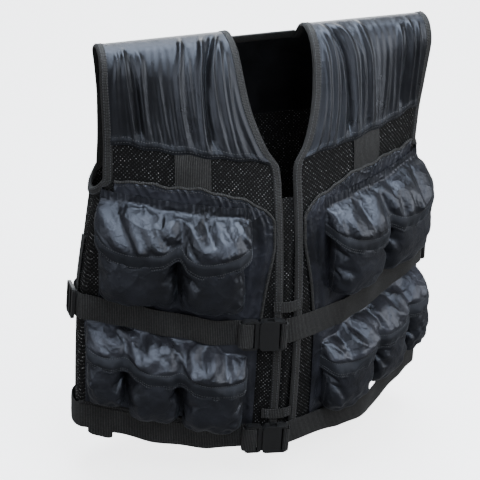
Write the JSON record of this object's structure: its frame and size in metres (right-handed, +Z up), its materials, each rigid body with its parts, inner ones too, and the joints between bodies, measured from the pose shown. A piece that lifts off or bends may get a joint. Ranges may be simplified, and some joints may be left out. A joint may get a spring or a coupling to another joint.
{
  "type": "weighted vest",
  "caption": "Sleeveless training vest with rows of filled pockets under flaps, gathered shoulder yokes, mesh panels and two buckled webbing belts.",
  "frame": {"origin": "middle of the shoulder ridge, where the vest hangs on the wearer's shoulders", "axes": "+Z up towards the neck, -Y out of the front, +X towards the wearer's left"},
  "size_m": [0.5188, 0.2091, 0.5485],
  "materials": {
    "nylon": "black satin nylon with a blue grey sheen",
    "air_mesh": "black air mesh",
    "webbing": "matte black ribbed webbing",
    "tape": "matte black ribbed binding tape",
    "plastic": "satin dark grey moulded plastic"
  },
  "bodies": {
    "root": {"shoulder_yoke_right": "nylon", "front_mesh_right": "air_mesh", "side_mesh_right": "air_mesh", "armhole_binding_right": "tape", "front_edge_binding_right": "tape", "chest_tab_right": "webbing", "pocket_panel_right": "nylon", "upper_pocket_inner_right": "nylon", "upper_pocket_outer_right": "nylon", "lower_pocket_inner_right": "nylon", "lower_pocket_middle_right": "nylon", "lower_pocket_outer_right": "nylon", "upper_flap_right": "nylon", "lower_flap_right": "nylon", "side_tape_right": "tape", "side_slider_right": "plastic", "mid_strap_right": "webbing", "lower_strap_right": "webbing", "shoulder_yoke_left": "nylon", "front_mesh_left": "air_mesh", "side_mesh_left": "air_mesh", "armhole_binding_left": "tape", "front_edge_binding_left": "tape", "chest_tab_left": "webbing", "pocket_panel_left": "nylon", "upper_pocket_inner_left": "nylon", "upper_pocket_outer_left": "nylon", "lower_pocket_inner_left": "nylon", "lower_pocket_middle_left": "nylon", "lower_pocket_outer_left": "nylon", "upper_flap_left": "nylon", "lower_flap_left": "nylon", "side_tape_left": "tape", "side_slider_left": "plastic", "mid_strap_left": "webbing", "lower_strap_left": "webbing", "back_yoke": "nylon", "back_mesh": "air_mesh", "back_neck_binding": "tape", "back_hem_binding": "tape", "front_placket": "air_mesh", "lower_strap_tail": "webbing", "mid_strap_back": "webbing", "mid_buckle_socket": "plastic", "mid_buckle_plug": "plastic", "mid_front_tab": "webbing", "lower_strap_back": "webbing", "lower_buckle_socket": "plastic", "lower_buckle_plug": "plastic", "lower_front_tab": "webbing"}
  },
  "joints": []
}
